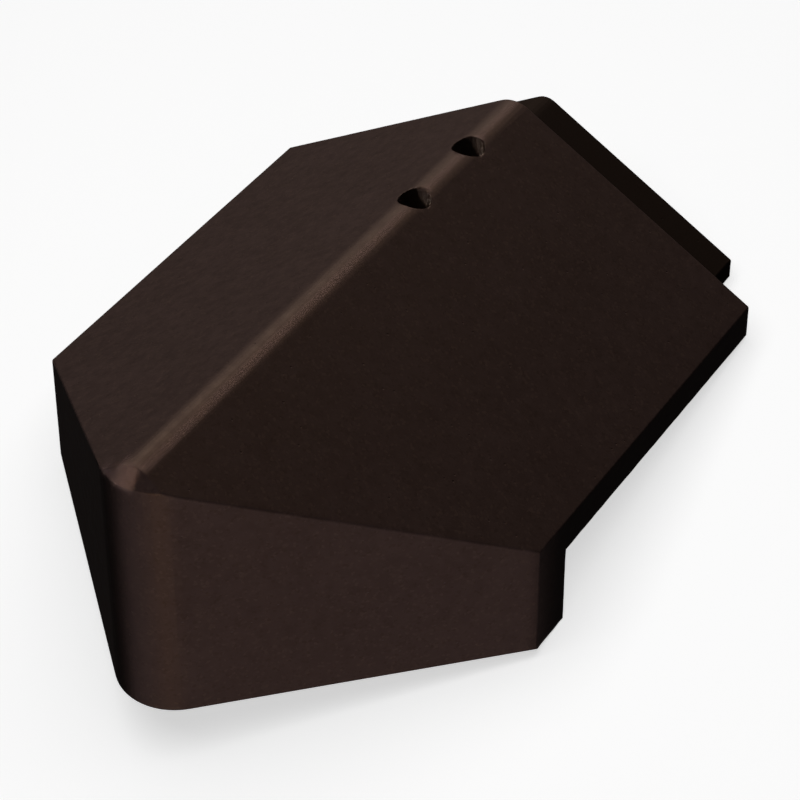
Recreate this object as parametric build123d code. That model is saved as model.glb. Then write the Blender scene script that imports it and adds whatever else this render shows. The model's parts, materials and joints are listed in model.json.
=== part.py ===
from build123d import *

import math
import os

# Hip end tile: two sloping wings that meet at a rounded ridge, closed at the lower end by a pointed apron
# wall and carried on at the upper end by a sunk tongue that the next tile laps over. One moulded piece.
# Sizes in millimetres and degrees. The tile is shaped upright, with X across it, Y up along the ridge and
# Z up, and is turned at the end to the way it lies by itself on a level floor.

# Wings
width = 300.0              # across both wings
wing_pitch = 30.0          # slope of each wing
wing_thickness = 17.0      # square to the slope
ridge_height = 153.7       # apron's foot to the ridge as if it were sharp
ridge_radius = 16.5        # rounded nose of the ridge
hollow_radius = 6.0        # rounding of the ridge on the underside
cover_length = 386.5       # apron's point, as if it were sharp, to the wings' upper edge

# Tip, where the ridge slopes down to a level rim over the apron's corner
tip_drop = 7.8             # rim below the top of the ridge
tip_slope = 45.0

# Apron
apron_angle = 90.0         # between its two walls, in plan
apron_thickness = 20.0     # square to the wall
apron_radius = 32.0        # outside of the upright corner

# Tongue
tongue_length = 37.5       # beyond the wings' upper edge
tongue_thickness = 10.5    # square to the slope
tongue_setback = 29.5      # from the wings' outer edge, each side
tongue_radius = 10.0       # rounded nose of the tongue's ridge
tongue_root = 38.0         # run of the thickened wing that the tongue grows from

# Fixing holes
hole_diameter = 18.0
hole_setback = 52.0        # upper hole's centre from the wings' upper edge
hole_pitch = 56.5          # centre to centre, along the ridge

# Edges
arris_radius = 1.5         # slight rounding that the mould leaves on the outer edges

# Sizes that follow
half_width = width / 2
slope = math.tan(math.radians(wing_pitch))
wing_drop = wing_thickness / math.cos(math.radians(wing_pitch))
tongue_drop = tongue_thickness / math.cos(math.radians(wing_pitch))
ridge_top = ridge_height + ridge_radius - ridge_radius / math.cos(math.radians(wing_pitch))
rim_height = ridge_top - tip_drop
half_corner = math.radians(apron_angle / 2)
corner_centre = apron_radius / math.sin(half_corner)
apron_depth = half_width / math.tan(half_corner)
apron_step = apron_thickness / math.sin(half_corner)
inner_corner_radius = max(apron_radius - apron_thickness, hollow_radius)
tongue_half_width = half_width - tongue_setback
tongue_end = cover_length + tongue_length
reach = 2 * (width + cover_length)


def gable(drop, nose_radius, half_span):
    """Upright gable-shaped face on the XZ plane, its top the wings' surface lowered by drop."""
    peak = ridge_height - drop
    foot = peak - half_span * slope - reach
    outline = Polyline(
        (-half_span, foot),
        (-half_span, peak - half_span * slope),
        (0, peak),
        (half_span, peak - half_span * slope),
        (half_span, foot),
        close=True,
    )
    face = Plane.XZ * make_face(outline)
    nose = face.vertices().sort_by(Axis.Z)[-1]
    return fillet(nose, nose_radius)


def gable_bar(drop, nose_radius, half_span, start, end):
    """Gable carried along the ridge from start to end."""
    face = Pos(0, start, 0) * gable(drop, nose_radius, half_span)
    return extrude(face, end - start, dir=(0, 1, 0))


def apron_plan(inset, corner_radius, half_span, end):
    """Plan of the pointed tile on the floor, its apron walls moved in by inset along Y."""
    flank = inset + half_span / math.tan(half_corner)
    outline = Polyline(
        (0, inset),
        (half_span, flank),
        (half_span, end),
        (-half_span, end),
        (-half_span, flank),
        close=True,
    )
    face = make_face(outline)
    point = face.vertices().sort_by(Axis.Y)[0]
    return fillet(point, corner_radius)


def tip_waste():
    """What is cut off the ridge's lower end: a wedge swept round the front half of the apron's corner."""
    rise = ridge_height - rim_height
    run = rise / math.tan(math.radians(tip_slope))
    wedge = Polyline(
        (run - apron_radius, rim_height + rise),
        (-run - apron_radius, rim_height + rise),
        (-run - apron_radius, rim_height - rise),
        close=True,
    )
    face = Plane.XZ * make_face(wedge)
    return Pos(0, corner_centre, 0) * revolve(face, Axis.Z, 180)


def outer_form():
    """Outer form of wings and apron as one lump, its arrises rounded but for the foot of the open flanks."""
    plan = extrude(apron_plan(0, apron_radius, half_width, cover_length), ridge_height)
    lump = plan & gable_bar(0, ridge_radius, half_width, 0, cover_length)
    lump -= tip_waste()
    edges = lump.edges()
    inboard = edges.filter_by(lambda edge: abs(edge.center().X) < half_width - arris_radius)
    seams = inboard.filter_by(Axis.Y) + inboard.filter_by(Axis.Z)
    foot = edges.filter_by(lambda edge: edge.center().Z < arris_radius)
    open_foot = foot.filter_by(lambda edge: edge.center().Y > apron_depth)
    return fillet(edges - seams - open_foot, arris_radius)


def hollow_form():
    """Hollow under the wings and behind the apron, open at both flanks and at the upper end."""
    inner_plan = apron_plan(apron_step, inner_corner_radius, width, reach)
    plan = Pos(0, 0, -ridge_height) * extrude(inner_plan, 2 * ridge_height)
    return plan & gable_bar(wing_drop, hollow_radius, width, 0, reach)


def tongue_plate():
    """Tongue's top and ends, far deeper than the tongue is thick, with its upper arrises rounded."""
    bar = gable_bar(wing_drop, tongue_radius, tongue_half_width, cover_length, tongue_end)
    top = bar.edges().filter_by(lambda edge: edge.center().Z > ridge_height - wing_drop - width)
    end_arrises = top.filter_by(lambda edge: edge.center().Y > tongue_end - arris_radius)
    flank_arrises = top.filter_by(Axis.Y).filter_by(lambda edge: abs(edge.center().X) > tongue_radius)
    return fillet(end_arrises + flank_arrises, arris_radius)


def tongue():
    """Sunk tongue level with the wings' underside, and the thickened root that carries it."""
    root_start = cover_length - tongue_root
    plate = tongue_plate()
    root = gable_bar(wing_drop / 2, hollow_radius, tongue_half_width, root_start, cover_length)
    below = wing_drop + tongue_drop
    ramp_start = Pos(0, root_start, 0) * gable(wing_drop, hollow_radius, width)
    ramp_end = Pos(0, cover_length, 0) * gable(below, hollow_radius, width)
    ramp = loft([ramp_start, ramp_end], ruled=True)
    underside = gable_bar(below, hollow_radius, width, cover_length, reach)
    return plate + root - ramp - underside


def fixing_holes():
    """Two upright holes through the ridge."""
    upper = cover_length - hole_setback
    drill = Cylinder(hole_diameter / 2, 2 * ridge_height)
    return [Pos(0, place, ridge_height) * drill for place in (upper, upper - hole_pitch)]


def lying(tile):
    """Turns the tile back until it lies on its apron's inner foot and on what touches first at the upper end."""
    pivot = apron_depth + apron_step
    tongue_foot = ridge_height - tongue_half_width * slope - wing_drop - tongue_drop
    wing_foot = ridge_height - half_width * slope - wing_drop
    tongue_lean = math.degrees(math.atan2(tongue_foot, tongue_end - pivot))
    wing_lean = math.degrees(math.atan2(wing_foot, cover_length - pivot))
    turned = Rot(-min(tongue_lean, wing_lean), 0, 0) * tile
    box = turned.bounding_box()
    return Pos(0, -box.center().Y, -box.min.Z) * turned


def hip_end_tile():
    """Whole tile, as it lies."""
    tile = outer_form() - hollow_form() + tongue()
    for hole in fixing_holes():
        tile -= hole
    return lying(tile)


if __name__ == "__main__":
    os.makedirs("parts", exist_ok=True)
    export_step(hip_end_tile(), "parts/hip_end_tile.step")
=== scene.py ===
import json
import logging
import math
from dataclasses import dataclass, replace
from enum import Enum

import bmesh
import bpy
import numpy as np
from mathutils import Matrix, Vector, noise


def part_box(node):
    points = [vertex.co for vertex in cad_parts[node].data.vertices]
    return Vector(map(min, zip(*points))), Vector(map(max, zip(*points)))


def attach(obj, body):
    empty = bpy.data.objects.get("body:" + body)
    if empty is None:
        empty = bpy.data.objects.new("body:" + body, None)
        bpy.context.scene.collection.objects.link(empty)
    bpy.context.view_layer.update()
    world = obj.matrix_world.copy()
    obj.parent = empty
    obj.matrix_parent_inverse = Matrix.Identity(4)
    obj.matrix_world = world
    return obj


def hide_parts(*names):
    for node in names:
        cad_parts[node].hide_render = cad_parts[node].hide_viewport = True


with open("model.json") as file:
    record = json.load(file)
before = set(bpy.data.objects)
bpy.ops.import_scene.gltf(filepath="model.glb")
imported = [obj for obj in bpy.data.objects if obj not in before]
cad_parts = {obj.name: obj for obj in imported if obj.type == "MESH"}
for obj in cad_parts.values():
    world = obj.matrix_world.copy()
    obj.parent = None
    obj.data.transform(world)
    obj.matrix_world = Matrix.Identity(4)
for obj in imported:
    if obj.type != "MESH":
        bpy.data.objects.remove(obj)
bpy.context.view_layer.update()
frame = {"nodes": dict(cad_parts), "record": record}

LOG = logging.getLogger("hip_end_tile")
MM = 0.001

Socket = bpy.types.NodeSocket
Node = bpy.types.Node
Value = float | tuple[float, ...] | Socket


class Mark(Enum):
    """Attributes on the tile's mesh that tell its finish what each spot of the surface is, and where painted
    shade and a painted highlight go.
    """

    # arrises: wear, and partly a painted highlight
    WORN_AND_HIGHLIGHT = "worn_and_highlit_arris"
    HOLLOW = "hollow_side"
    # tongue: painted shade
    TONGUE_SHADE = "painted_tongue_shade"


class Axis(Enum):
    """Directions of the tile itself, which lies tipped back on the floor."""

    ACROSS = "across both wings"
    ALONG = "up along the ridge"
    UP = "square to the ridge, away from the hollow"


def linear(colour: str) -> tuple[float, float, float, float]:
    """Turns an sRGB hex colour to linear light.

    Args:
        colour: six hex digits after a hash.

    Returns:
        Red, green, blue and an alpha of one.
    """
    shares = [int(colour[start:start + 2], 16) / 255 for start in (1, 3, 5)]
    light = [share / 12.92 if share <= 0.04045 else ((share + 0.055) / 1.055) ** 2.4 for share in shares]
    return (light[0], light[1], light[2], 1.0)


def per_metre(size_mm: float) -> float:
    """Gives the texture scale at which one cell of a pattern is size_mm wide."""
    return 1 / (size_mm * MM)


def add_node(tree: bpy.types.NodeTree, kind: str, inputs: dict[str | int, Value] | None = None,
             **settings: str | bool | float) -> Node:
    """Adds one node to a tree, with its settings, values and links.

    Args:
        tree: the node tree.
        kind: Blender's name of the node's type.
        inputs: what each input gets, by its name or number: a value, or another node's output.
        settings: the node's own properties.

    Returns:
        The new node.
    """
    node = tree.nodes.new(kind)
    for name, setting in settings.items():
        setattr(node, name, setting)
    for name, value in (inputs or {}).items():
        if isinstance(value, Socket):
            tree.links.new(value, node.inputs[name])
        else:
            node.inputs[name].default_value = value
    return node


def new_material(name: str) -> tuple[bpy.types.Material, bpy.types.NodeTree]:
    """Makes an empty node material.

    Args:
        name: the material's name.

    Returns:
        The material and its node tree.
    """
    material = bpy.data.materials.new(name)
    material.use_nodes = True
    material.node_tree.nodes.clear()
    return material, material.node_tree


@dataclass(frozen=True)
class PressedConcrete:
    """Through-coloured concrete, pressed in a steel mould and sprayed with a thin matt sealer.

    Pressing leaves a close, slightly sandy face that is matt but for a weak broad sheen from the sealer. The
    pigment lies a little unevenly, single sand grains show lighter or darker, and small air pores stay open.
    """

    name: str = "pressed_dark_brown_concrete"
    pigment_dark: str = "#372b2a"
    pigment_light: str = "#3f3231"
    grain_light: str = "#54433c"
    grain_dark: str = "#261d1b"
    worn_and_highlight: str = "#55463f"         # rubbed arrises, lighter partly as a painted highlight
    hollow: str = "#423833"       # rough underside
    tongue_shade: str = "#0f0c0b"          # tongue, coloured near black as painted shade for the shadow below the wing's step
    sheen: str = "#ffae55"        # tint that the pigment gives the weak gloss
    gloss: float = 0.2            # share of a smooth face's gloss that the sandy texture leaves
    cloud_mm: float = 55.0        # patches of uneven pigment
    mottle_mm: float = 7.0        # smaller mottling within them
    uneven_low: float = 0.7       # patches and mottling added up, where the pigment is darkest
    uneven_high: float = 1.3      # and lightest
    sand_mm: float = 1.5          # sand grains, drawn about twice as coarse as real, to show at all
    sand_height_mm: float = 0.05
    plain_share: float = 0.8      # grains that stay as they are, for pale and for dark ones alike
    grain_strength: float = 0.3   # how far the palest and the darkest grain leave the pigment
    pore_mm: float = 9.0          # spacing of the open air pores
    pore_radius_mm: float = 0.7
    pore_floor: float = 0.5       # flat floor of a pore, as a share of its radius
    pore_depth_mm: float = 0.15
    roughness_low: float = 0.46   # where the mottling is at matt_low
    roughness_high: float = 0.54  # and at matt_high
    matt_low: float = 0.3
    matt_high: float = 0.7
    hollow_and_tongue_roughness: float = 0.9   # on the rough hollow, and on the tongue that carries painted shade
    ior: float = 1.5

    def material(self) -> bpy.types.Material:
        """Builds the node material.

        Returns:
            The finished material.
        """
        material, tree = new_material(self.name)
        place = add_node(tree, "ShaderNodeTexCoord").outputs["Object"]
        colour = self.colour(tree, place)
        normal = self.relief(tree, place)
        matt = add_node(tree, "ShaderNodeTexNoise", {"Vector": place, "Scale": per_metre(self.mottle_mm)})
        rough = add_node(tree, "ShaderNodeMapRange", {
            "Value": matt.outputs["Fac"], "From Min": self.matt_low, "From Max": self.matt_high,
            "To Min": self.roughness_low, "To Max": self.roughness_high})
        hollow = add_node(tree, "ShaderNodeAttribute", attribute_name=Mark.HOLLOW.value)
        # The tongue carries painted shade; it and the hollow are rougher.
        tongue_shade = add_node(tree, "ShaderNodeAttribute", attribute_name=Mark.TONGUE_SHADE.value)
        hollow_and_shaded_tongue = add_node(tree, "ShaderNodeMath", {0: hollow.outputs["Fac"], 1: tongue_shade.outputs["Fac"]},
                        operation="MAXIMUM")
        roughness = add_node(tree, "ShaderNodeMix", {
            0: hollow_and_shaded_tongue.outputs[0], 2: rough.outputs["Result"], 3: self.hollow_and_tongue_roughness})
        shader = add_node(tree, "ShaderNodeBsdfPrincipled", {
            "Base Color": colour, "Roughness": roughness.outputs[0], "Normal": normal, "IOR": self.ior,
            "Specular IOR Level": self.gloss, "Specular Tint": linear(self.sheen)})
        add_node(tree, "ShaderNodeOutputMaterial", {"Surface": shader.outputs["BSDF"]})
        return material

    def colour(self, tree: bpy.types.NodeTree, place: Socket) -> Socket:
        """Lays pigment, sand grains, the paler hollow, painted shade on the tongue and lighter arrises (wear,
        and partly a painted highlight) over each other.

        Args:
            tree: the material's node tree.
            place: coordinates on the tile, in metres.

        Returns:
            The colour output.
        """
        cloud = add_node(tree, "ShaderNodeTexNoise", {
            "Vector": place, "Scale": per_metre(self.cloud_mm), "Detail": 4.0, "Roughness": 0.6})
        mottle = add_node(tree, "ShaderNodeTexNoise", {
            "Vector": place, "Scale": per_metre(self.mottle_mm), "Detail": 2.0})
        uneven = add_node(tree, "ShaderNodeMath", {0: cloud.outputs["Fac"], 1: mottle.outputs["Fac"]},
                          operation="ADD")
        share = add_node(tree, "ShaderNodeMapRange", {
            "Value": uneven.outputs[0], "From Min": self.uneven_low, "From Max": self.uneven_high})
        pigment = add_node(tree, "ShaderNodeMix", {
            0: share.outputs["Result"], 6: linear(self.pigment_dark), 7: linear(self.pigment_light)},
            data_type="RGBA")
        sand = add_node(tree, "ShaderNodeTexVoronoi", {
            "Vector": place, "Scale": per_metre(self.sand_mm)})
        pick = add_node(tree, "ShaderNodeSeparateColor", {0: sand.outputs["Color"]})
        pale = add_node(tree, "ShaderNodeMapRange", {
            "Value": pick.outputs[0], "From Min": self.plain_share, "From Max": 1.0,
            "To Max": self.grain_strength})
        dark = add_node(tree, "ShaderNodeMapRange", {
            "Value": pick.outputs[1], "From Min": self.plain_share, "From Max": 1.0,
            "To Max": self.grain_strength})
        sanded = add_node(tree, "ShaderNodeMix", {
            0: pale.outputs["Result"], 6: pigment.outputs[2], 7: linear(self.grain_light)}, data_type="RGBA")
        grained = add_node(tree, "ShaderNodeMix", {
            0: dark.outputs["Result"], 6: sanded.outputs[2], 7: linear(self.grain_dark)}, data_type="RGBA")
        hollow = add_node(tree, "ShaderNodeAttribute", attribute_name=Mark.HOLLOW.value)
        lined = add_node(tree, "ShaderNodeMix", {
            0: hollow.outputs["Fac"], 6: grained.outputs[2], 7: linear(self.hollow)}, data_type="RGBA")
        # Painted shade: the tongue is coloured near black for the shadow below the wing's step.
        tongue_shade = add_node(tree, "ShaderNodeAttribute", attribute_name=Mark.TONGUE_SHADE.value)
        hollow_and_shaded_tongue = add_node(tree, "ShaderNodeMix", {
            0: tongue_shade.outputs["Fac"], 6: lined.outputs[2], 7: linear(self.tongue_shade)}, data_type="RGBA")
        # Lighter arrises: partly wear, partly a painted highlight that brightens the tip.
        worn_and_highlight = add_node(tree, "ShaderNodeAttribute", attribute_name=Mark.WORN_AND_HIGHLIGHT.value)
        rubbed_and_highlit = add_node(tree, "ShaderNodeMix", {
            0: worn_and_highlight.outputs["Fac"], 6: hollow_and_shaded_tongue.outputs[2], 7: linear(self.worn_and_highlight)}, data_type="RGBA")
        return rubbed_and_highlit.outputs[2]

    def relief(self, tree: bpy.types.NodeTree, place: Socket) -> Socket:
        """Raises sand grains and sinks air pores, both too small for the mesh.

        Args:
            tree: the material's node tree.
            place: coordinates on the tile, in metres.

        Returns:
            The normal output.
        """
        sand = add_node(tree, "ShaderNodeTexNoise", {
            "Vector": place, "Scale": per_metre(self.sand_mm), "Detail": 2.0})
        grainy = add_node(tree, "ShaderNodeBump", {
            "Height": sand.outputs["Fac"], "Strength": 1.0, "Distance": self.sand_height_mm * MM})
        pores = add_node(tree, "ShaderNodeTexVoronoi", {
            "Vector": place, "Scale": per_metre(self.pore_mm)})
        radius = self.pore_radius_mm / self.pore_mm
        sunk = add_node(tree, "ShaderNodeMapRange", {
            "Value": pores.outputs["Distance"], "From Min": self.pore_floor * radius, "From Max": radius})
        porous = add_node(tree, "ShaderNodeBump", {
            "Height": sunk.outputs["Result"], "Strength": 1.0, "Distance": self.pore_depth_mm * MM,
            "Normal": grainy.outputs["Normal"]})
        return porous.outputs["Normal"]


@dataclass(frozen=True)
class StudioPaper:
    """Wide roll of matt studio paper, lit from all sides: a plain pale ground with a soft shadow."""

    name: str = "pale_studio_paper"
    paper: str = "#e6e6e6"
    glow: float = 0.62
    roughness: float = 0.9

    def material(self) -> bpy.types.Material:
        """Builds the node material.

        Returns:
            The finished material.
        """
        material, tree = new_material(self.name)
        shader = add_node(tree, "ShaderNodeBsdfPrincipled", {
            "Base Color": linear(self.paper), "Roughness": self.roughness,
            "Emission Color": linear("#ffffff"), "Emission Strength": self.glow})
        add_node(tree, "ShaderNodeOutputMaterial", {"Surface": shader.outputs["BSDF"]})
        return material


@dataclass(frozen=True)
class Relief:
    """One layer of unevenness that is wide enough for the mesh to carry."""

    size_mm: float
    depth_mm: float
    offset: tuple[float, float, float]

    def sunk(self, place: Vector) -> float:
        """Tells how far a spot lies below the sharp form.

        Args:
            place: the spot, in metres.

        Returns:
            Depth in metres, from zero to the layer's depth.
        """
        spot = place / (self.size_mm * MM) + Vector(self.offset)
        return (0.5 + 0.5 * noise.noise(spot)) * self.depth_mm * MM


@dataclass
class HipEndTile:
    """The tile's visible body: its solid copied as small cells, with the slight relief of pressing."""

    node: str = "hip_end_tile"
    name: str = "hip_end_tile_body"
    body: str = "root"
    slot: str = "dark_brown_concrete"
    fixing_holes: tuple[str, ...] = ("upper_fixing_hole", "lower_fixing_hole")
    lit_turn_deg: float = 58.0    # lit spot of a hole's wall, from the right towards the upper end
    lit_height: float = 0.2       # and above the hole's middle, as a share of its length
    cell_mm: float = 2.5
    tongue_length_mm: float = 37.5
    tongue_shade_share: float = 0.9        # how far the tongue's painted shade covers the pigment
    weld_mm: float = 0.001
    snap_mm: float = 0.02
    flat_deg: float = 0.5
    steep: float = 0.5            # walls face up or down by less than this
    smooth_deg: float = 50.0
    inside_height: float = 0.2    # spot in the hollow that its faces look at, as a share of the height
    arris_gain: float = 3.0       # turns how far an edge stands out into its share of an arris
    waves: tuple[Relief, ...] = (
        Relief(60.0, 0.10, (3.1, 7.7, 1.3)),
        Relief(16.0, 0.03, (8.2, 0.4, 5.9)),
    )
    hollow_waves: tuple[Relief, ...] = (
        Relief(24.0, 0.30, (1.7, 4.4, 9.2)),
        Relief(8.0, 0.14, (6.6, 2.9, 0.8)),
    )
    nibble: Relief = Relief(7.0, 0.35, (4.5, 9.1, 2.2))
    wear_and_highlight_share: float = 0.35      # how far the lighter arris colour, wear and partly a painted highlight, covers a full arris

    def axes(self) -> dict[Axis, Vector]:
        """Reads the tile's own directions from the frame.

        Returns:
            A unit vector for each axis.
        """
        up = Vector(self.holes()[0]["axis"]).normalized()
        across = Vector((1, 0, 0))
        return {Axis.ACROSS: across, Axis.ALONG: up.cross(across), Axis.UP: up}

    def holes(self) -> list[dict]:
        """Lists the fixing holes' mounts, whose axes are square to the ridge."""
        mounts = {mount["name"]: mount for mount in frame["record"]["mounts"]}
        return [mounts[name] for name in self.fixing_holes]

    def hole_walls(self) -> list[Vector]:
        """Finds the spot on each hole's wall that catches the light, up the ridge and to the right.

        Returns:
            One spot for each hole.
        """
        axes = self.axes()
        aside = axes[Axis.ACROSS] * math.cos(math.radians(self.lit_turn_deg))
        aside += axes[Axis.ALONG] * math.sin(math.radians(self.lit_turn_deg))
        spots = []
        for hole in self.holes():
            rise = axes[Axis.UP] * hole["dims"]["length_mm"] * self.lit_height * MM
            spots.append(Vector(hole["pos_m"]) + rise + aside * hole["dims"]["r_mm"] * MM)
        return spots

    def build(self) -> bpy.types.Object:
        """Builds the piece and puts it in the node's place.

        Returns:
            The new object.
        """
        axes = self.axes()
        shell = self.copy_solid()
        for axis in (Axis.UP, Axis.ALONG, Axis.ACROSS):
            self.cut_cells(shell, axes[axis], axes[Axis.UP] if axis is Axis.UP else None)
        shell.normal_update()
        hollow = self.hollow_shares(shell, axes)
        worn_and_highlight = self.arris_shares(shell)
        # mask of the tongue, which gets painted shade
        tongue_shade = self.shaded_tongue_shares(shell, axes[Axis.ALONG])
        self.press(shell, hollow, worn_and_highlight)
        mesh = bpy.data.meshes.new(self.name)
        shell.to_mesh(mesh)
        shell.free()
        # The tongue's mark carries painted shade; the arrises' mark carries wear and partly a painted
        # highlight.
        marks = {Mark.HOLLOW: hollow, Mark.WORN_AND_HIGHLIGHT: worn_and_highlight * self.wear_and_highlight_share, Mark.TONGUE_SHADE: tongue_shade * self.tongue_shade_share}
        for mark, shares in marks.items():
            layer = mesh.attributes.new(mark.value, "FLOAT", "POINT")
            layer.data.foreach_set("value", shares.astype(np.float32))
        mesh.shade_smooth()
        mesh.set_sharp_from_angle(angle=math.radians(self.smooth_deg))
        piece = bpy.data.objects.new(self.name, mesh)
        bpy.context.scene.collection.objects.link(piece)
        weighted = piece.modifiers.new("even_shading", "WEIGHTED_NORMAL")
        weighted.mode = "FACE_AREA"
        weighted.keep_sharp = True
        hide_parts(self.node)
        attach(piece, self.body)
        return piece

    def copy_solid(self) -> bmesh.types.BMesh:
        """Copies the node's mesh with its flat faces whole.

        Returns:
            The welded copy.
        """
        shell = bmesh.new()
        shell.from_mesh(frame["nodes"][self.node].data)
        bmesh.ops.remove_doubles(shell, verts=shell.verts, dist=self.weld_mm * MM)
        bmesh.ops.dissolve_limit(shell, angle_limit=math.radians(self.flat_deg), verts=shell.verts,
                                 edges=shell.edges)
        return shell

    def cut_cells(self, shell: bmesh.types.BMesh, axis: Vector, walls_up: Vector | None) -> None:
        """Cuts the faces at even steps along an axis.

        Args:
            shell: the mesh to cut.
            axis: direction of the steps.
            walls_up: the tile's up direction, where only its upright walls are cut.
        """
        places = [vertex.co.dot(axis) for vertex in shell.verts]
        low = min(places)
        count = round((max(places) - low) / (self.cell_mm * MM))
        step = (max(places) - low) / count
        for number in range(1, count):
            faces = shell.faces[:]
            if walls_up:
                faces = [face for face in faces if abs(face.normal.dot(walls_up)) < self.steep]
            edges = {edge for face in faces for edge in face.edges}
            corners = {corner for edge in edges for corner in edge.verts}
            bmesh.ops.bisect_plane(shell, geom=[*corners, *edges, *faces], dist=self.snap_mm * MM,
                                   plane_co=axis * (low + number * step), plane_no=axis)

    def hollow_shares(self, shell: bmesh.types.BMesh, axes: dict[Axis, Vector]) -> np.ndarray:
        """Finds the hollow under the tile, whose faces all look at one spot inside it.

        Args:
            shell: the cut mesh.
            axes: the tile's directions.

        Returns:
            One for each vertex in the hollow, and zero elsewhere.
        """
        low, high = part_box(self.node)
        rise = (high.z - low.z) * self.inside_height
        inside = Vector((0, (low.y + high.y) / 2, low.z)) + axes[Axis.UP] * rise
        return np.array([float((inside - vertex.co).dot(vertex.normal) > 0) for vertex in shell.verts])

    def arris_shares(self, shell: bmesh.types.BMesh) -> np.ndarray:
        """Finds the outer edges by how far each vertex stands out from its neighbours.

        Args:
            shell: the cut mesh.

        Returns:
            From zero on flat faces to one on a sharp arris.
        """
        shares = np.zeros(len(shell.verts))
        for number, vertex in enumerate(shell.verts):
            around = [edge.other_vert(vertex).co - vertex.co for edge in vertex.link_edges]
            lean = [-away.normalized().dot(vertex.normal) for away in around if away.length > 0]
            shares[number] = max(0.0, sum(lean) / max(1, len(lean)))
        return np.clip(shares * self.arris_gain, 0, 1)

    def shaded_tongue_shares(self, shell: bmesh.types.BMesh, along: Vector) -> np.ndarray:
        """Finds the tongue, which the next tile laps and which is coloured as painted shade for the shadow
        below the wing's step.

        Args:
            shell: the cut mesh.
            along: direction up along the ridge.

        Returns:
            One for each vertex of the tongue, and zero elsewhere.
        """
        places = np.array([vertex.co.dot(along) for vertex in shell.verts])
        start = places.max() - (self.tongue_length_mm - self.cell_mm) * MM
        return (places > start).astype(float)

    def press(self, shell: bmesh.types.BMesh, hollow: np.ndarray, worn_and_highlight: np.ndarray) -> None:
        """Sinks each vertex by the relief at its place, always inwards, so that the tile keeps its size.

        Args:
            shell: the cut mesh.
            hollow: share of the rougher hollow at each vertex.
            worn_and_highlight: share of the arris at each vertex.
        """
        moves = []
        for vertex, inside, edge in zip(shell.verts, hollow, worn_and_highlight):
            waves = self.hollow_waves if inside else self.waves
            depth = sum(wave.sunk(vertex.co) for wave in waves) + edge * self.nibble.sunk(vertex.co)
            moves.append(vertex.normal * -depth)
        low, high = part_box(self.node)
        for vertex, move in zip(shell.verts, moves):
            moved = vertex.co + move
            vertex.co = [min(max(place, least), most) for place, least, most in zip(moved, low, high)]
        shell.normal_update()

    def dress(self, piece: bpy.types.Object, finish: PressedConcrete) -> None:
        """Gives the piece its finish."""
        piece.data.materials.append(finish.material())


@dataclass(frozen=True)
class PhotoCamera:
    """Camera at the photograph's viewing angle, which shows the tile level, though it lies tipped back."""

    azimuth_deg: float = 37.808      # round the tile, from in front of the apron's point
    elevation_deg: float = 48.970    # above the floor
    roll_deg: float = -9.504         # turned clockwise, which levels the ridge again
    distance: float = 1.585
    aim: tuple[float, float, float] = (0.0333, -0.0082, 0.0676)
    lens_mm: float = 136.2
    sensor_mm: float = 36.0

    def build(self) -> bpy.types.Object:
        """Builds the camera and makes it the scene's own.

        Returns:
            The camera object.
        """
        data = bpy.data.cameras.new("photo_camera")
        data.lens = self.lens_mm
        data.sensor_width = self.sensor_mm
        camera = bpy.data.objects.new("photo_camera", data)
        bpy.context.scene.collection.objects.link(camera)
        camera.matrix_world = looking(self.aim, self.azimuth_deg, self.elevation_deg, self.distance,
                                      self.roll_deg)
        bpy.context.scene.camera = camera
        return camera


def looking(aim: tuple[float, float, float], azimuth_deg: float, elevation_deg: float, distance: float,
            roll_deg: float = 0.0) -> Matrix:
    """Places something that looks at a spot from a direction.

    Args:
        aim: the spot, in metres.
        azimuth_deg: round the spot, from the side of low Y towards high X.
        elevation_deg: above the floor.
        distance: from the spot, in metres.
        roll_deg: turn about the line of sight, anticlockwise as seen from behind.

    Returns:
        The placing, with the line of sight along its own low Z.
    """
    azimuth = math.radians(azimuth_deg)
    elevation = math.radians(elevation_deg)
    back = Vector((math.sin(azimuth) * math.cos(elevation), -math.cos(azimuth) * math.cos(elevation),
                   math.sin(elevation)))
    level = Vector((math.cos(azimuth), math.sin(azimuth), 0))
    roll = math.radians(roll_deg)
    right = level * math.cos(roll) + back.cross(level) * math.sin(roll)
    turned = Matrix((right, back.cross(right), back)).transposed().to_4x4()
    return Matrix.Translation(Vector(aim) + back * distance) @ turned


@dataclass(frozen=True)
class SoftBox:
    """One studio light with a rectangular diffuser, and a grid over it where its beam is narrow."""

    name: str
    azimuth_deg: float
    elevation_deg: float
    distance: float
    width: float
    height: float
    power: float
    aim: tuple[float, float, float] = (0.0, 0.0, 0.07)
    beam_deg: float = 180.0
    roll_deg: float = 0.0
    colour: str = "#ffffff"

    def build(self) -> bpy.types.Object:
        """Builds the light.

        Returns:
            The light object.
        """
        data = bpy.data.lights.new(self.name, "AREA")
        data.shape = "RECTANGLE"
        data.size = self.width
        data.size_y = self.height
        data.spread = math.radians(self.beam_deg)
        data.energy = self.power
        data.color = linear(self.colour)[:3]
        light = bpy.data.objects.new(self.name, data)
        bpy.context.scene.collection.objects.link(light)
        light.matrix_world = looking(self.aim, self.azimuth_deg, self.elevation_deg, self.distance,
                                     self.roll_deg)
        light.visible_camera = False
        return light


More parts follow.
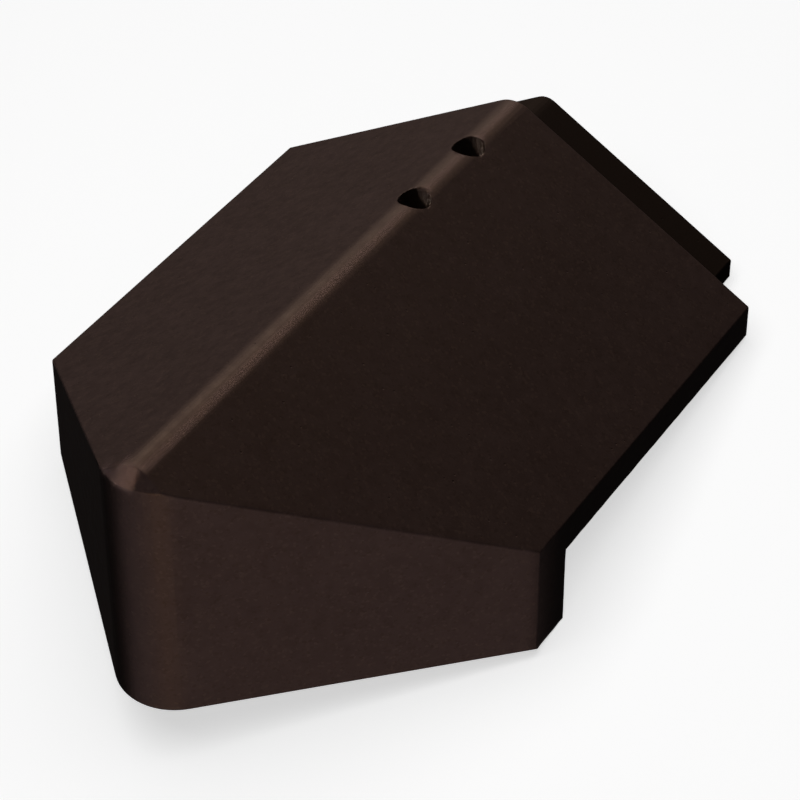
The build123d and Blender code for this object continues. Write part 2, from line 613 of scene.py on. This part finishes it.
@dataclass
class Studio:
    """Plain pale ground that turns up into a wall all round, with soft lights."""

    floor_radius: float = 4.0
    bend_radius: float = 2.0
    wall_height: float = 6.0
    segments: int = 96
    bend_steps: int = 16
    ambient: float = 0.022
    weld_mm: float = 0.01
    hole_light: SoftBox = SoftBox(
        "hole_grid", azimuth_deg=-65.0, elevation_deg=45.0, distance=0.15, width=0.010, height=0.008,
        power=0.0002, beam_deg=1.5)
    floor_light: SoftBox = SoftBox(
        "floor_wash", azimuth_deg=0.0, elevation_deg=90.0, distance=1.6, width=1.8, height=1.8, power=16.0)
    # Three wide lights behind the tile give the ridge its gloss and the left wing more light than the right.
    # The grids are narrow beams, each shaped to one face.
    tile_lights: tuple[SoftBox, ...] = (
        SoftBox("back_left_key", azimuth_deg=222.0, elevation_deg=31.5, distance=9.0, width=3.4, height=3.0,
                power=306.0, colour="#fffaf6"),
        SoftBox("back_key", azimuth_deg=193.0, elevation_deg=34.5, distance=9.0, width=3.6, height=3.0,
                power=108.0, colour="#fff5ee"),
        SoftBox("back_right_key", azimuth_deg=177.0, elevation_deg=36.5, distance=9.0, width=3.4, height=3.0,
                power=48.0),
        SoftBox("front_left_fill", azimuth_deg=-47.0, elevation_deg=62.0, distance=3.0, width=1.2, height=1.2,
                power=2.0),
        SoftBox("apron_grid", azimuth_deg=23.9, elevation_deg=-2.8, distance=0.45, width=0.200, height=0.26,
                power=0.083, aim=(0.0754, -0.1393, 0.0899), beam_deg=2.5, roll_deg=-4.9),
        SoftBox("ridge_grid", azimuth_deg=180.0, elevation_deg=78.0, distance=0.06, width=0.0044,
                height=0.365, power=0.0019, aim=(0.0026, 0.0032, 0.1424), beam_deg=2.0, roll_deg=0.68),
        SoftBox("tip_grid", azimuth_deg=0.0, elevation_deg=36.0, distance=0.15, width=0.0125, height=0.012,
                power=0.00058, aim=(-0.003, -0.1804, 0.1774), beam_deg=2.0, colour="#fffaf2"),
        SoftBox("tip_side_grid", azimuth_deg=0.0, elevation_deg=36.0, distance=0.15, width=0.0095,
                height=0.004, power=0.00008, aim=(-0.014, -0.1805, 0.1749), beam_deg=2.0),
    )

    def build(self, tile: bpy.types.Object, hole_walls: list[Vector], paper: StudioPaper) -> None:
        """Builds ground, lights and the dim light from all round.

        Args:
            tile: the piece that the tile's own lights fall on.
            hole_walls: spots in the fixing holes that a fine beam falls on.
            paper: finish of the ground.
        """
        ground = self.build_ground()
        ground.data.materials.append(paper.material())
        self.shine_on(self.floor_light.build(), ground)
        for light in self.tile_lights:
            self.shine_on(light.build(), tile)
        for spot in hole_walls:
            self.shine_on(replace(self.hole_light, aim=tuple(spot)).build(), tile)
        world = bpy.data.worlds.new("dim_studio")
        world.use_nodes = True
        world.node_tree.nodes["Background"].inputs["Color"].default_value = linear("#ffffff")
        world.node_tree.nodes["Background"].inputs["Strength"].default_value = self.ambient
        bpy.context.scene.world = world
        bpy.context.scene.view_settings.view_transform = "Standard"

    def build_ground(self) -> bpy.types.Object:
        """Turns the ground's profile round the upright axis.

        Returns:
            The ground object.
        """
        profile = [Vector((0, 0, 0)), Vector((self.floor_radius, 0, 0))]
        for step in range(1, self.bend_steps + 1):
            turn = math.radians(90) * step / self.bend_steps
            profile.append(Vector((self.floor_radius + self.bend_radius * math.sin(turn), 0,
                                   self.bend_radius * (1 - math.cos(turn)))))
        profile.append(Vector((self.floor_radius + self.bend_radius, 0, self.wall_height)))
        form = bmesh.new()
        corners = [form.verts.new(place) for place in profile]
        edges = [form.edges.new(pair) for pair in zip(corners, corners[1:])]
        bmesh.ops.spin(form, geom=corners + edges, cent=(0, 0, 0), axis=(0, 0, 1), angle=math.tau,
                       steps=self.segments, use_merge=True)
        bmesh.ops.remove_doubles(form, verts=form.verts, dist=self.weld_mm * MM)
        bmesh.ops.recalc_face_normals(form, faces=form.faces)
        mesh = bpy.data.meshes.new("studio_ground")
        form.to_mesh(mesh)
        form.free()
        mesh.shade_smooth()
        ground = bpy.data.objects.new("studio_ground", mesh)
        bpy.context.scene.collection.objects.link(ground)
        ground.visible_diffuse = False
        ground.visible_glossy = False
        ground.visible_shadow = False
        return ground

    def shine_on(self, light: bpy.types.Object, lit: bpy.types.Object) -> None:
        """Keeps a light to one object, as flags and barn doors do in a studio.

        Args:
            light: the light object.
            lit: what it falls on.
        """
        only = bpy.data.collections.new(light.name + "_falls_on")
        only.objects.link(lit)
        light.light_linking.receiver_collection = only


def main() -> None:
    """Builds the tile, its finish, the studio and the camera."""
    logging.basicConfig(level=logging.INFO, format="%(name)s: %(message)s")
    tile = HipEndTile()
    piece = tile.build()
    tile.dress(piece, PressedConcrete())
    LOG.info("piece %s, %d faces", piece.name, len(piece.data.polygons))
    Studio().build(piece, tile.hole_walls(), StudioPaper())
    PhotoCamera().build()
    bpy.context.view_layer.update()


if __name__ == "__main__":
    main()
